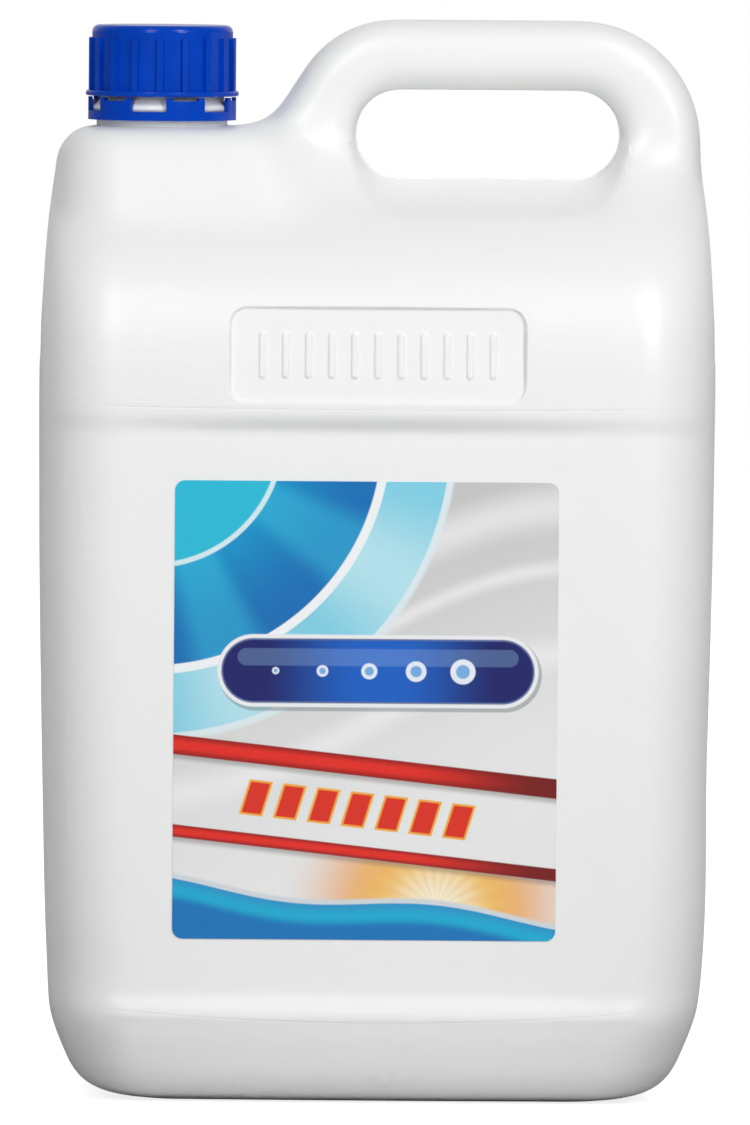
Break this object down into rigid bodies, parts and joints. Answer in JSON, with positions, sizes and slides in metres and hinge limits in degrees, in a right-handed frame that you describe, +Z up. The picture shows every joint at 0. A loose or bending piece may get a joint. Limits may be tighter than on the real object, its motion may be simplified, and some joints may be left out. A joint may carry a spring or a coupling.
{
  "type": "bleach bottle",
  "caption": "Large blow-moulded plastic bottle of bleach with a hollow grip handle, ribbed screw cap, tamper band and labels.",
  "frame": {"origin": "middle of the footprint, on the surface the bottle stands on", "axes": "+Z up; -Y is the front, with the moulded plate and the front label; -X is the neck's side, +X the handle's side"},
  "size_m": [0.1886, 0.1272, 0.3016],
  "materials": {
    "bottle_plastic": "soft sheen",
    "bleach": "liquid",
    "cap_plastic": "sheen",
    "liner_foam": "matte foam",
    "label_front_film": "satin film",
    "label_back_film": "satin film"
  },
  "bodies": {
    "bottle": {"bottle": "bottle_plastic", "bleach": "bleach", "tamper_band": "cap_plastic", "front_label": "label_front_film", "back_label": "label_back_film"},
    "liner": {"cap_liner": "liner_foam"},
    "cap": {"cap": "cap_plastic"}
  },
  "joints": [
    {"name": "cap_rise", "type": "slide", "parent": "bottle", "child": "liner", "axis": [0, 0, 1], "range_m": [0, 0.0191]},
    {"name": "cap_turn", "type": "hinge", "parent": "liner", "child": "cap", "pos_m": [-0.061, 0, 0.29], "axis": [0, 0, 1], "range_deg": [0, 1620]}
  ],
  "couplings": [
    {"joint": "cap_rise", "follows": "cap_turn", "m_per_rad": 0.0006737}
  ]
}
